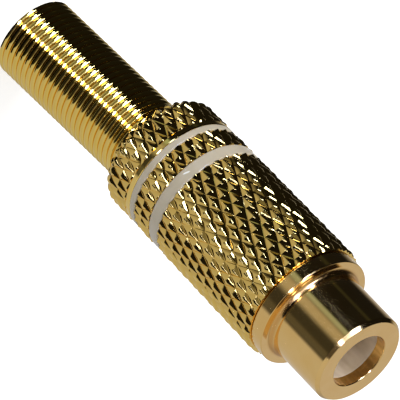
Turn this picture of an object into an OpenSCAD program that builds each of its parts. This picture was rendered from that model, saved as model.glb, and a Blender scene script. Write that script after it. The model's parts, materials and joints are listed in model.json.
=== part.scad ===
// In-line phono socket with a knurled screw-on shell and a spring cable guard.
// It stands on the ground end of the spring, and its nose points up along +Z.
// The origin is on the shell's axis, level with the foot of the spring. Millimetres.

/* [Front body] */
// Outside diameter of the nose that the plug's skirt grips
nose_d = 8.3; // [8:0.1:8.8]
// Length of the nose, from the flange to the front face
nose_len = 5.94; // [5:0.1:9]
// Chamfer round the front edge of the nose
nose_chamfer = 0.3; // [0.1:0.05:0.5]
// Diameter of the mouth in the front face
mouth_d = 5; // [4.2:0.1:5.3]
// Thickness of the front wall round the mouth
mouth_wall = 1; // [0.5:0.1:1.6]
// Wall of the shank, from the bore to the top of its screw thread
shank_wall = 1.5; // [1.3:0.05:1.6]
// How far the flange's edge lies below the knurl of the shell
flange_drop = 0.325; // [0:0.025:0.5]
// Thickness of the flange
flange_len = 1.24; // [0.8:0.05:2]
// Radius of the fillet where the nose meets the flange
fillet_r = 0.5; // [0.2:0.05:0.8]
// Length of the threaded shank
thread_len = 6.5; // [4.5:0.1:8]
// Width of the thread relief under the flange
relief_w = 0.6; // [0.3:0.1:1]
// Depth of the thread relief under the flange
relief_depth = 0.35; // [0.2:0.05:0.6]
// Thickness of the rolled rim that holds the earth tag
rim_wall = 0.25; // [0.15:0.05:0.3]
// How far the rolled rim reaches out over the earth tag
rim_roll = 0.2; // [0.1:0.05:0.2]

/* [Contact and insulators] */
// Bore of the centre contact, for the plug's pin
pin_bore_d = 3.2; // [3.1:0.05:3.4]
// Wall of the contact barrel
contact_wall = 0.5; // [0.3:0.05:0.55]
// Depth of the contact's tip behind the front face
contact_set = 3.6; // [2.5:0.1:5]
// Length of the contact barrel, from its tip to its collar
barrel_len = 7; // [5:0.1:8]
// Width of each slot in the barrel
slot_w = 0.35; // [0.2:0.05:0.5]
// Number of slots in the barrel
slots = 4; // [2:1:4]
// Length of the slots from the tip
slot_len = 5.4; // [3:0.1:6]
// Thickness of the collar that the insulators trap
collar_t = 0.8; // [0.5:0.1:1.2]
// Diameter of the solder cup on the contact's tail
cup_d = 2.6; // [2.2:0.1:3]
// Hole in the solder cup
cup_bore_d = 1.6; // [1.2:0.1:1.8]
// How far the solder cup stands out behind the shank
cup_out = 4.3; // [3:0.1:6]
// Room round the contact barrel for its fingers to open
finger_gap = 0.2; // [0.1:0.05:0.3]
// Wall of the front insulator round that room
insul_wall = 0.68; // [0.55:0.01:0.75]
// Length of the insulator's mouth, ahead of the contact
liner_len = 2.4; // [1.2:0.1:2.5]

/* [Earth tag] */
// Thickness of the tag's sheet
tag_t = 0.35; // [0.25:0.05:0.4]
// Width of the tag's tail
tail_w = 2.2; // [1.6:0.1:2.2]
// Length of the cable clamp along the tail
clamp_len = 2.6; // [1.5:0.1:3.5]
// Angle that the open clamp wraps round the cable
clamp_angle = 220; // [150:10:250]
// Solder hole in the tail
solder_hole_d = 1; // [0.6:0.1:1.2]
// Clear space between the clamp and the spring's flare
tag_clear = 0.9; // [0.6:0.1:2]

/* [Shell] */
// Depth of the two band grooves below the knurl at the rear
groove_depth = 0.43; // [0.4:0.01:0.6]
// Wall left under the colour bands
band_wall = 0.4; // [0.35:0.05:0.6]
// How much the radius over the knurl grows from the rear to the front
shell_taper = 0.12; // [0:0.02:0.3]
// Length of the long knurled grip
grip_len = 12.1; // [9:0.1:16]
// Width of the wide colour band
wide_band_w = 1.18; // [0.8:0.02:2]
// Length of the knurled ring between the two colour bands
ring_len = 1.92; // [1:0.02:3]
// Width of the narrow colour band
narrow_band_w = 0.68; // [0.4:0.02:1.2]
// Width of the plain lip behind the narrow band
lip_w = 0.47; // [0.3:0.02:0.8]
// How far the plain lip lies below the knurl
lip_drop = 0.07; // [0.02:0.01:0.15]
// Length of the knurled shoulder behind the lip
shoulder_len = 3.23; // [2.6:0.01:4]
// Radius of the shoulder's round corner
shoulder_r = 1.15; // [0.8:0.05:1.2]
// How far the colour bands lie below the knurl's crests
band_sink = 0.08; // [0.04:0.02:0.2]
// Length of the straight hole that the spring leaves by
spring_hole_len = 0.55; // [0.3:0.05:0.8]

/* [Knurl] */
// Number of grooves each way round the shell
knurl_starts = 32; // [24:1:40]
// Length of one diamond along the shell
diamond_len = 2.12; // [1.6:0.02:3]
// Depth of the knurl's grooves
knurl_depth = 0.28; // [0.15:0.01:0.3]

/* [Spring] */
// How far the hole for the spring steps in from the shell's bore
flare_step = 0.45; // [0.4:0.05:0.6]
// Thickness of the spring's wire
wire_d = 0.57; // [0.45:0.01:0.6]
// Gap between neighbouring turns
turn_gap = 0.016; // [0.01:0.002:0.1]
// Length of spring outside the shell
spring_len = 15.2; // [10:0.1:20]
// How far the spring sits off the shell's axis where it leaves the shell
spring_side = 0.3; // [0:0.05:0.4]
// How far the spring leans to the same side over its free length
spring_lean = 0.6; // [0:0.05:0.8]
// Number of wide turns trapped inside the shell
flare_turns = 1.5; // [1:0.25:3]
// Depth ground off the spring's foot below the middle of the wire
foot_ground = 0.12; // [0:0.01:0.13]

/* [Sleeve] */
// Wall of the clear insulating sleeve
sleeve_wall = 0.35; // [0.2:0.05:0.4]

/* [Fits] */
// Radial clearance of the screw thread and of the sleeve
thread_clear = 0.05; // [0.02:0.01:0.1]
// Clearance of the pieces that are pressed or trapped in the front body
press_clear = 0.02; // [0.01:0.01:0.04]
// Gap between the shell and the flange when the shell is screwed home
seat_gap = 0.04; // [0.02:0.01:0.1]
// Radial clearance of the spring in the shell
spring_clear = 0.1; // [0.06:0.02:0.15]
// Gap that keeps the sleeve off the pieces at its two ends
sleeve_gap = 0.3; // [0.2:0.05:0.6]

/* [Hidden] */
$fn = 96;

gold = [0.83, 0.67, 0.34];
pale_gold = [0.84, 0.68, 0.45];
milky_white = [0.80, 0.78, 0.74];
clear_grey = [0.75, 0.78, 0.80];

// Heights, from the foot of the spring upwards
z_rear = spring_len;
z_lip = z_rear + shoulder_len;
z_narrow = z_lip + lip_w;
z_ring = z_narrow + narrow_band_w;
z_wide = z_ring + ring_len;
z_grip = z_wide + wide_band_w;
z_front = z_grip + grip_len;
z_flange = z_front + seat_gap;
z_nose = z_flange + flange_len;
z_face = z_nose + nose_len;
z_shank = z_flange - thread_len;

// Radii, from the plug's pin outwards
barrel_r = pin_bore_d / 2 + contact_wall;
room_r = barrel_r + finger_gap;
insul_r = room_r + insul_wall;
body_bore_r = insul_r + press_clear;
shank_r = body_bore_r + shank_wall;
bore_r = shank_r + thread_clear;
floor_r = bore_r + band_wall;
rear_crest_r = floor_r + groove_depth;

// Inside of the shell: the spring's hole, and a cone from it to the bore
hole_r = bore_r - flare_step;
z_cone = z_rear + spring_hole_len;
z_bore = z_cone + flare_step;

// Spring: the turns lie a wire and a gap apart
pitch = wire_d + turn_gap;
coil_r = hole_r - spring_side - spring_clear - wire_d / 2;
flare_r = bore_r - spring_clear - wire_d / 2;
z_flare = z_bore + wire_d / 4;
z_spread = z_flare - pitch;
z_spring_top = z_flare + flare_turns * pitch;
coil_steps = 16;
wire_sides = 6;

// Earth tag: a ring under the shank, a tail and an open clamp
rim_r = body_bore_r + rim_wall;
roll_r = rim_r + rim_roll;
tag_room = 0.05;
tag_in_r = roll_r + tag_room;
z_tag = z_shank - tag_t;
z_roll = z_tag - press_clear;
roll_t = 0.2;
sleeve_out_r = bore_r - 2 * thread_clear;
sleeve_in_r = sleeve_out_r - sleeve_wall;
tag_ring_r = sleeve_in_r - tag_room;
z_clamp = z_spring_top + wire_d / 2 + tag_clear;
z_sleeve = z_spring_top + wire_d / 2 + sleeve_gap;
z_sleeve_top = z_roll - roll_t - sleeve_gap;

// Contact and insulators, from the front face backwards
z_tip = z_face - contact_set;
z_collar = z_tip - barrel_len;
z_insul_top = z_face - mouth_wall - press_clear;
z_liner = z_face - mouth_wall - liner_len;
z_rear_insul = z_shank - tag_t / 2;

// Points of an arc, from angle a0 to a1, for the outlines of turned pieces
function arc(cx, cy, r, a0, a1, n = 8) =
    [for (i = [0:n]) let (a = a0 + (a1 - a0) * i / n) [cx + r * cos(a), cy + r * sin(a)]];

// Crest radius of the knurl at height z: a slight taper from rear to front
function crest_r(z) = rear_crest_r + shell_taper * (z - z_rear) / (z_front - z_rear);

// Knurl by rows. Each row is [radius, height, outward r, outward z, depth]. Points alternate
// between a crest and a groove crossing, so each diamond is a four-sided pyramid.
function row_points(row, k, columns) =
    [for (j = [0:columns - 1])
        let (sink = row[4] * ((k + j) % 2), a = 360 * j / columns, r = row[0] - sink * row[2])
        [r * cos(a), r * sin(a), row[1] - sink * row[3]]];

// Each cell between two rows is cut in two along the groove that crosses it
function cell_faces(k, j, n) =
    let (a = k * n + j, b = k * n + (j + 1) % n, c = a + n, d = b + n)
    (k + j) % 2 == 1 ? [[a, c, d], [a, d, b]] : [[a, c, b], [b, c, d]];

module knurl(rows) {
    n = 2 * knurl_starts;
    last = len(rows) - 1;
    skin = [for (k = [0:last]) each row_points(rows[k], k, n)];
    bottom = len(skin);
    top = bottom + 1;
    points = concat(skin, [[0, 0, rows[0][1]], [0, 0, rows[last][1]]]);
    sides = [for (k = [0:last - 1], j = [0:n - 1]) each cell_faces(k, j, n)];
    foot = [for (j = [0:n - 1]) [bottom, j, (j + 1) % n]];
    cap = [for (j = [0:n - 1]) [top, last * n + (j + 1) % n, last * n + j]];
    polyhedron(points = points, faces = concat(sides, foot, cap));
}

// Rows of a straight stretch of knurl, a whole number of half diamonds long
function straight_rows(z0, z1) =
    let (n = max(1, round((z1 - z0) / (diamond_len / 2))))
    [for (k = [0:n]) let (z = z0 + (z1 - z0) * k / n) [crest_r(z), z, 1, 0, knurl_depth]];

// Rows of the shoulder: round the corner from the end face, then straight up to the lip
function shoulder_rows() =
    let (r = crest_r(z_rear), arc_len = shoulder_r * PI / 2,
         n_arc = max(2, round(arc_len / (diamond_len / 2))),
         z_arc = z_rear + shoulder_r,
         n_up = max(1, round((z_lip - z_arc) / (diamond_len / 2))))
    concat(
        [for (k = [0:n_arc - 1]) let (t = 90 - 90 * k / n_arc, c = cos(t), s = sin(t))
            [r - shoulder_r * (1 - c), z_arc - shoulder_r * s, c, -s, k == 0 ? 0 : knurl_depth]],
        [for (k = [0:n_up]) let (z = z_arc + (z_lip - z_arc) * k / n_up)
            [crest_r(z), z, 1, 0, knurl_depth]]);

// Turned shell: knurled outside, band grooves, lip, and a bore that the thread runs in
module knurled_shell() {
    inset = 0.3;
    lip_r = rear_crest_r - lip_drop;
    lip_ease = 0.12;
    lip_low = z_lip - 0.04;
    lip_taper = 0.1;
    color(gold)
    difference() {
        union() {
            knurl(shoulder_rows());
            knurl(straight_rows(z_ring, z_wide));
            knurl(straight_rows(z_grip, z_front));
            translate([0, 0, z_lip - inset])
                cylinder(r = floor_r, h = z_grip - z_lip + 2 * inset);
            rotate_extrude()
                polygon(concat([[0, lip_low], [lip_r - lip_taper, lip_low]],
                    arc(lip_r - lip_ease, z_narrow - lip_ease, lip_ease, 0, 90, 4),
                    [[0, z_narrow]]));
        }
        translate([0, 0, z_rear - 1]) cylinder(r = hole_r, h = spring_hole_len + 2);
        rotate_extrude()
            polygon([[0, z_cone], [hole_r, z_cone], [bore_r, z_bore], [bore_r, z_front + 1],
                     [0, z_front + 1]]);
    }
}

// Plastic ring in a groove of the shell, with softened edges
module colour_band(z0, width) {
    ease = 0.08;
    in_r = floor_r + press_clear;
    out_r = crest_r(z0) - band_sink;
    low = z0 + press_clear;
    high = z0 + width - press_clear;
    color(milky_white)
    rotate_extrude()
        polygon(concat([[in_r, low]], arc(out_r - ease, low + ease, ease, -90, 0, 4),
            arc(out_r - ease, high - ease, ease, 0, 90, 4), [[in_r, high]]));
}

// Nose, flange and threaded shank, turned in one piece. Its rear rim is rolled over the tag.
// The nose's chamfer is a little steeper than 45 degrees.
module front_body() {
    nose_r = nose_d / 2;
    face_r = nose_r - 0.75 * nose_chamfer;
    flange_r = crest_r(z_front) - flange_drop;
    edge = 0.08;
    lead = 0.3;
    z_lead = z_shank + lead;
    z_relief = z_flange - relief_w;
    color(pale_gold)
    rotate_extrude()
        polygon(concat(
            [[mouth_d / 2, z_face - mouth_wall], [mouth_d / 2, z_face],
             [face_r, z_face], [nose_r, z_face - nose_chamfer]],
            arc(nose_r + fillet_r, z_nose + fillet_r, fillet_r, 180, 270, 8),
            [[flange_r - edge, z_nose], [flange_r, z_nose - edge], [flange_r, z_flange + edge],
             [flange_r - edge, z_flange], [shank_r - relief_depth, z_flange],
             [shank_r - relief_depth, z_relief], [shank_r, z_relief - relief_depth],
             [shank_r, z_lead], [shank_r - lead, z_shank], [rim_r, z_shank],
             [rim_r, z_roll], [roll_r, z_roll], [roll_r, z_roll - roll_t / 2],
             [rim_r, z_roll - roll_t], [body_bore_r, z_roll - roll_t],
             [body_bore_r, z_face - mouth_wall]]));
}

// White insulator behind the front wall: a liner, then room for the contact's fingers
module front_insulator() {
    low = z_collar + press_clear;
    color(milky_white)
    rotate_extrude()
        polygon([[mouth_d / 2, z_insul_top], [insul_r, z_insul_top], [insul_r, low],
                 [room_r, low], [room_r, z_liner], [mouth_d / 2, z_liner]]);
}

// Slotted socket for the pin, with a trapped collar and a half-open solder cup
module centre_contact() {
    lead = 0.2;
    collar_r = insul_r - press_clear;
    z_back = z_collar - collar_t;
    z_cup = z_shank - cup_out;
    cup_depth = 0.7 * cup_out;
    cup_cut = 0.7 * cup_depth;
    color(gold)
    difference() {
        rotate_extrude()
            polygon([[pin_bore_d / 2 + lead, z_tip], [barrel_r - lead / 2, z_tip],
                     [barrel_r, z_tip - lead / 2], [barrel_r, z_collar], [collar_r, z_collar],
                     [collar_r, z_back], [cup_d / 2, z_back], [cup_d / 2, z_cup],
                     [cup_bore_d / 2, z_cup], [cup_bore_d / 2, z_cup + cup_depth],
                     [0, z_cup + cup_depth], [0, z_collar + lead], [pin_bore_d / 2, z_collar + lead],
                     [pin_bore_d / 2, z_tip - lead]]);
        for (i = [0:slots - 1])
            rotate([0, 0, 45 + 360 * i / slots])
                translate([0, -slot_w / 2, z_tip - slot_len])
                    cube([barrel_r + 1, slot_w, slot_len + 1]);
        translate([0, -cup_d, z_cup - 1])
            cube([cup_d, 2 * cup_d, 1 + cup_cut]);
    }
}

// White bush that closes the rear of the bore round the contact's tail
module rear_insulator() {
    high = z_collar - collar_t - press_clear;
    color(milky_white)
    translate([0, 0, z_rear_insul])
        difference() {
            cylinder(r = insul_r, h = high - z_rear_insul);
            translate([0, 0, -1]) cylinder(r = cup_d / 2 + press_clear, h = high - z_rear_insul + 2);
        }
}

// Earth tag: a washer under the rolled rim, a tail with a solder hole and an open clamp
module earth_tag() {
    out_r = tag_in_r + tag_t;
    z_hole = z_shank - cup_out;
    color(pale_gold)
    difference() {
        union() {
            translate([0, 0, z_tag + press_clear / 2])
                difference() {
                    cylinder(r = tag_ring_r, h = tag_t - press_clear);
                    translate([0, 0, -1]) cylinder(r = rim_r + press_clear, h = tag_t + 2);
                }
            translate([-tail_w / 2, tag_in_r, z_clamp])
                cube([tail_w, tag_t, z_tag - z_clamp + tag_t / 2]);
            translate([0, 0, z_clamp])
                rotate([0, 0, 90 - clamp_angle / 2])
                    rotate_extrude(angle = clamp_angle)
                        translate([tag_in_r, 0]) square([tag_t, clamp_len]);
        }
        translate([0, tag_in_r - 1, z_hole])
            rotate([-90, 0, 0]) cylinder(d = solder_hole_d, h = tag_t + 2);
        translate([0, 0, z_clamp - 1])
            cylinder(r = tag_in_r, h = z_tag - z_clamp);
    }
}

// Clear tube that keeps the joints off the shell
module insulating_sleeve() {
    length = z_sleeve_top - z_sleeve;
    color(clear_grey)
    translate([0, 0, z_sleeve])
        difference() {
            cylinder(r = sleeve_out_r, h = length);
            translate([0, 0, -1]) cylinder(r = sleeve_in_r, h = length + 2);
        }
}

// Middle of the spring at height z: it leans towards -X below the shell
function lean_at(z) =
    z < z_rear ? spring_side + spring_lean * (1 - z / z_rear)
    : spring_side * max(0, 1 - (z - z_rear) / (z_flare - z_rear));

// Radius of the wire's middle at height z: the turns spread just inside the shell's cone
function coil_at(z) =
    coil_r + (flare_r - coil_r) * min(1, max(0, (z - z_spread) / (z_flare - z_spread)));

// Round wire carried along the helix. What reaches below the foot is ground flat.
function wire_ring(i) =
    let (a = 360 * i / coil_steps, zc = pitch * i / coil_steps - foot_ground, r = coil_at(zc))
    [for (s = [0:wire_sides - 1])
        let (b = 30 + 360 * s / wire_sides, rr = r + wire_d / 2 * cos(b))
        [rr * cos(a) - lean_at(zc), rr * sin(a), max(0, zc + wire_d / 2 * sin(b))]];

module spring() {
    n = round((z_spring_top + foot_ground) / pitch * coil_steps);
    m = wire_sides;
    points = [for (i = [0:n]) each wire_ring(i)];
    sides = [for (i = [0:n - 1], s = [0:m - 1])
        let (a = i * m + s, b = i * m + (s + 1) % m)
        each [[a, b, a + m], [b, b + m, a + m]]];
    start = [for (s = [0:m - 1]) (m + 1 - s) % m];
    finish = [for (s = [0:m - 1]) n * m + s];
    color(gold)
    polyhedron(points = points, faces = concat(sides, [start, finish]));
}

front_body();
front_insulator();
centre_contact();
rear_insulator();
earth_tag();
knurled_shell();
colour_band(z_wide, wide_band_w);  // wide_colour_band
colour_band(z_narrow, narrow_band_w);  // narrow_colour_band
insulating_sleeve();
spring();
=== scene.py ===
# %% [markdown]
# # A gold-plated in-line phono socket
#
# The object is a small connector, 42 mm long: a turned front body with a round nose, a knurled
# shell that screws onto it, two pale plastic colour rings, and a close-wound spring that guards
# the cable. Nearly all of it is polished gold plate. Polished metal has hardly any look of its
# own, so two things matter most here: exact smooth shapes, and a studio worth mirroring.
#
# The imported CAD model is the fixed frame. Seven of the ten pieces are worked out below as numpy
# arrays in the same frame, in millimetres, and put into meshes in metres. Three inner ones keep
# their CAD shapes.

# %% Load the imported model
import json

import bpy
import numpy as np
from mathutils import Matrix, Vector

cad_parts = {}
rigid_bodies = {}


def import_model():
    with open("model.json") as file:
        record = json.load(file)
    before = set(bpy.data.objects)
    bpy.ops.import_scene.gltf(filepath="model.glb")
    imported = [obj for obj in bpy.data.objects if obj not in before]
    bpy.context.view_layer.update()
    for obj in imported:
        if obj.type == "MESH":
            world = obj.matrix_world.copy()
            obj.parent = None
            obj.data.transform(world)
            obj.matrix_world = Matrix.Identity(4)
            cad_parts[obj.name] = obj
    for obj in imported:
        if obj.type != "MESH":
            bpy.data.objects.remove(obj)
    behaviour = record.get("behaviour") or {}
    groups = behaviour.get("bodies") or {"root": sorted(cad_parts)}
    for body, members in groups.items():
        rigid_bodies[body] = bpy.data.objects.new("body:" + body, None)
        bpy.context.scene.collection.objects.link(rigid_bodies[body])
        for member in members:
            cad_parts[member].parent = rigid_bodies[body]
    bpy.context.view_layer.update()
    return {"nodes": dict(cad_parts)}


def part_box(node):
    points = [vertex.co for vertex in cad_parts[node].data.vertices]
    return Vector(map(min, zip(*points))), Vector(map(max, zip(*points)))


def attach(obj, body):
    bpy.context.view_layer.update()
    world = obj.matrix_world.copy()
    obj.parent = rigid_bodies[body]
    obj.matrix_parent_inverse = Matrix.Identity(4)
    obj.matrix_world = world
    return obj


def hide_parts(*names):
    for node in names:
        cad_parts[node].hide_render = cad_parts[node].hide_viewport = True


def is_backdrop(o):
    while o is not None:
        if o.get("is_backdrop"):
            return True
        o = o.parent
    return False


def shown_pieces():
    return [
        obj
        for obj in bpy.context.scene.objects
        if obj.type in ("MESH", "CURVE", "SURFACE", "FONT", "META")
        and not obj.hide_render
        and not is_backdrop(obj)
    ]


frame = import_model()
MM = 0.001

# %% [markdown]
# ## The camera
#
# In this frame the socket stands on its spring. The photograph then looks at it from the side and
# from 30 degrees above, and the picture is rolled so that the nose points to the lower right. The
# lens is long, because the far end of the connector is hardly smaller than the near end. We build
# the camera's three axes by hand: a level camera at an elevation, then a roll in the plane of the
# picture.

# %% Place the camera
CAMERA_LENS = 630.0
CAMERA_SENSOR = 36.0
CAMERA_DISTANCE = 556.6
CAMERA_ELEVATION = np.radians(29.776)
CAMERA_ROLL = np.radians(136.36)
CAMERA_AIM = np.array([-0.3215, 0.0, 21.60])
LAST_ROW = [0, 0, 0, 1]


def rolled_axes(elevation, roll):
    """Right, up and back of a camera on the +Y side.

    Back points from the object to the camera. A level camera's right is -X and its up is square
    to both. The roll turns right and up about back.
    """
    back = np.array([0.0, np.cos(elevation), np.sin(elevation)])
    level_right = np.array([-1.0, 0.0, 0.0])
    level_up = np.cross(back, level_right)
    right = np.cos(roll) * level_right + np.sin(roll) * level_up
    return right, np.cross(back, right), back


right, up, back = rolled_axes(CAMERA_ELEVATION, CAMERA_ROLL)
place = (CAMERA_AIM + back * CAMERA_DISTANCE) * MM
camera = bpy.data.objects.new("camera", bpy.data.cameras.new("camera"))
camera.data.sensor_width = CAMERA_SENSOR
camera.data.lens = CAMERA_LENS
camera.data.clip_start = 0.01
axes = np.column_stack([right, up, back, place])
camera.matrix_world = Matrix(np.vstack([axes, LAST_ROW]).tolist())
bpy.context.scene.collection.objects.link(camera)
bpy.context.scene.camera = camera
bpy.context.scene.view_settings.view_transform = "Standard"
print("camera at (mm):", np.round(place / MM, 1).tolist())

# %% [markdown]
# ## Helpers for worked-out surfaces
#
# Every new piece is a grid of points: a closed outline carried round an axis or along a wire.
# A grid that closes on itself both ways has no seam and no open edge, so it is a sound solid.

# %% Faces of a closed grid
def grid_faces(rows, columns, wrap_rows=True):
    """Four-sided faces of a grid whose columns close on themselves.

    The point in row r and column c has the number r * columns + c. The order is round the columns
    first and then along the rows, so that an outline drawn anticlockwise in (radius, height) and
    turned anticlockwise about Z faces outwards.
    """
    last = rows if wrap_rows else rows - 1
    row, column = np.meshgrid(np.arange(last), np.arange(columns), indexing="ij")
    next_row = (row + 1) % rows
    next_column = (column + 1) % columns
    corners = [row * columns + column, row * columns + next_column,
               next_row * columns + next_column, next_row * columns + column]
    return np.stack(corners, axis=-1).reshape(-1, 4)


print("a closed grid of 3 rows and 4 columns has", len(grid_faces(3, 4)), "faces")

# %% [markdown]
# A finished piece rides on one of the CAD bodies, stands for a CAD node, and has a material slot
# with a plain name. Its normals are given with its points wherever we know them exactly.

# %% Put a piece on its body
def add_piece(name, points, faces, body, replaced, normals=None):
    """Make a mesh object from points in millimetres and hang it on its CAD body."""
    mesh = bpy.data.meshes.new(name)
    mesh.from_pydata(points.reshape(-1, 3) * MM, [], faces)
    mesh.shade_smooth()
    if normals is not None:
        mesh.normals_split_custom_set_from_vertices(normals.reshape(-1, 3))
    piece = bpy.data.objects.new(name, mesh)
    bpy.context.scene.collection.objects.link(piece)
    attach(piece, body)
    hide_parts(replaced)
    print(name, "has", len(mesh.vertices), "points and", len(mesh.polygons), "faces")
    return piece


# %% [markdown]
# ## Turned outlines
#
# A lathe leaves no perfectly sharp edge, and on polished metal it is the thin bright line along
# each tiny radius that tells the eye where an edge is. So every corner of an outline gets a
# radius. The arcs meet the straights without a kink, which lets us give each point its exact
# normal: flats then stay dead flat in the reflections, which averaged normals would spoil.

# %% Round an outline and turn it
CORNER_STEPS = 5
TURNED_COLUMNS = 256


def rounded_outline(corners, steps=CORNER_STEPS):
    """Points and outward normals of a closed outline with rounded corners.

    Each corner is (radius, height, rounding), listed anticlockwise. The direction turns by an
    angle phi at a corner. The arc starts rounding * tan(|phi| / 2) before it, and its points are
    the arc's middle plus or minus the rounding times the outward normal, turned bit by bit.
    """
    corners = np.array(corners, dtype=float)
    spots = corners[:, :2]
    rounding = corners[:, 2]
    ahead = np.roll(spots, -1, axis=0) - spots
    ahead /= np.linalg.norm(ahead, axis=1, keepdims=True)
    before = np.roll(ahead, 1, axis=0)
    phi = np.arctan2(before[:, 0] * ahead[:, 1] - before[:, 1] * ahead[:, 0],
                     np.sum(before * ahead, axis=1))
    sign = np.sign(phi)
    start = spots - before * (rounding * np.tan(np.abs(phi) / 2))[:, None]
    normal = np.stack([before[:, 1], -before[:, 0]], axis=1)
    middle = start - normal * (sign * rounding)[:, None]
    bend = phi[:, None] * np.linspace(0.0, 1.0, steps)
    normals = np.stack([normal[:, :1] * np.cos(bend) - normal[:, 1:] * np.sin(bend),
                        normal[:, :1] * np.sin(bend) + normal[:, 1:] * np.cos(bend)], axis=-1)
    points = middle[:, None] + normals * (sign * rounding)[:, None, None]
    return points.reshape(-1, 2), normals.reshape(-1, 2)


def turned(outline, normals, columns):
    """Turn an outline about Z: x = r cos a, y = r sin a, and the same for the normals."""
    angle = np.linspace(0.0, 2.0 * np.pi, columns, endpoint=False)

    def swept(flat):
        return np.stack([flat[:, :1] * np.cos(angle), flat[:, :1] * np.sin(angle),
                         np.repeat(flat[:, 1:], columns, axis=1)], axis=-1)

    return swept(outline), swept(normals)


def turned_piece(name, corners, body):
    """A plain turned ring that stands for the CAD node of the same name."""
    outline, normals = rounded_outline(corners)
    points, directions = turned(outline, normals, TURNED_COLUMNS)
    faces = grid_faces(len(outline), TURNED_COLUMNS)
    return add_piece(name + "_turned", points, faces, body, name, directions)


print("a rounded corner has", CORNER_STEPS, "points, and a plain ring", TURNED_COLUMNS, "columns")

# %% [markdown]
# ## The knurled shell
#
# A knurling tool presses two sets of crossing grooves into the turned shell, one set leaning each
# way. What stays between them is a field of small four-sided pyramids. Their tips lean towards
# the front, as if the tool had dragged the metal along, so the two facets that look to the front
# are steep and the other two are gentle. The look of the whole object hangs on these facets, so
# they are real geometry here and not a bump map.
#
# The heights of the shell and of the two ring grooves come from the boxes of the CAD nodes, so
# the shell stays in step with them. Its bore takes the front body's thread, and a smaller hole at
# the rear lets the spring out.

# %% Sizes of the turned shell
shell_low, shell_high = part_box("knurled_shell")
wide_low, wide_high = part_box("wide_colour_band")
narrow_low, narrow_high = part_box("narrow_colour_band")
BAND_GAP = 0.02
Z_REAR = shell_low.z / MM
Z_FRONT = shell_high.z / MM
Z_NARROW = narrow_low.z / MM - BAND_GAP
Z_RING = narrow_high.z / MM + BAND_GAP
Z_WIDE = wide_low.z / MM - BAND_GAP
Z_GRIP = wide_high.z / MM + BAND_GAP
LIP_WIDTH = 0.47
Z_LIP = Z_NARROW - LIP_WIDTH
CREST_REAR = 5.38
CREST_GROWTH = 0.12
GROOVE_RADIUS = 4.95
BORE_RADIUS = 4.55
HOLE_RADIUS = 4.10
HOLE_LENGTH = 0.55
HOLE_EDGE = 0.05
LIP_SINK = 0.07
LIP_RADIUS = CREST_REAR - LIP_SINK
LIP_FRONT_EDGE = 0.06
LIP_REAR_EDGE = 0.04
SHOULDER_RADIUS = 1.15
print("grip from", round(Z_GRIP, 2), "to", round(Z_FRONT, 2), "mm")

# %% [markdown]
# The shell's outline runs straight back from the front edge and then round the shoulder. Along
# the knurled stretches, the rows of the grid lie on whole steps of the pattern. Every groove then
# runs exactly through points of the grid and stays a clean, straight cut. Plain stretches need
# only their corners.

# %% The shell's outline and its rows
KNURL_COUNT = 32
HALF_DIAMOND = 1.06
KNURL_STEPS = 8
KNURL_SHIFT = 0.39
KNURL_DEPTH = 0.255
KNURL_MARGIN = 0.02
ROW_ROOM = 0.2
TIP_LEAN = 0.15
LEAN_FADE = 0.4


def crest_radius(z):
    """Radius over the tips: it grows in a straight line from the shell's rear to its front."""
    return CREST_REAR + CREST_GROWTH * (z - Z_REAR) / (Z_FRONT - Z_REAR)


def shell_outline(back_along):
    """Radius, height and outward direction at a distance back along the outline.

    The outline runs straight back from the front edge, and then round the shoulder's corner: an
    arc whose angle is the distance past its start over its radius.
    """
    straight = Z_FRONT - (Z_REAR + SHOULDER_RADIUS)
    angle = np.clip((back_along - straight) / SHOULDER_RADIUS, 0.0, np.pi / 2)
    z = Z_FRONT - np.minimum(back_along, straight) - SHOULDER_RADIUS * np.sin(angle)
    radius = crest_radius(z) - SHOULDER_RADIUS * (1.0 - np.cos(angle))
    return radius, z, np.cos(angle), -np.sin(angle)


def pattern_rows(start, end):
    """Distances from start to end on whole steps of the pattern, with both ends kept.

    A step's number is the distance over half a diamond, plus the shift, times the steps in half a
    diamond. A step too near an end is left out, so that no two rows nearly touch.
    """
    first, last = (np.array([start, end]) / HALF_DIAMOND + KNURL_SHIFT) * KNURL_STEPS
    inner = np.arange(np.ceil(first + ROW_ROOM), np.floor(last - ROW_ROOM) + 1) / KNURL_STEPS
    return np.concatenate([[start], (inner - KNURL_SHIFT) * HALF_DIAMOND, [end]])


def knurled_rows(start, end):
    """Rows of (radius, height, distance back, depth, lean) over a stretch.

    The tips lean less and less towards both ends of the stretch, where the hills are cut off.
    """
    distance = pattern_rows(start, end)
    from_ends = np.minimum(distance - start, end - distance)
    lean = TIP_LEAN * np.clip(from_ends / LEAN_FADE, 0.0, 1.0)
    blank = np.zeros_like(distance)
    return np.stack([blank, blank, distance, blank + KNURL_DEPTH, lean], axis=1)


def plain_rows(corners):
    """Rows that are only turned, from (radius, height) pairs."""
    corners = np.array(corners, dtype=float)
    rows = np.zeros((len(corners), 5))
    rows[:, :2] = corners
    rows[:, 2] = Z_FRONT - corners[:, 1]
    return rows


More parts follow.
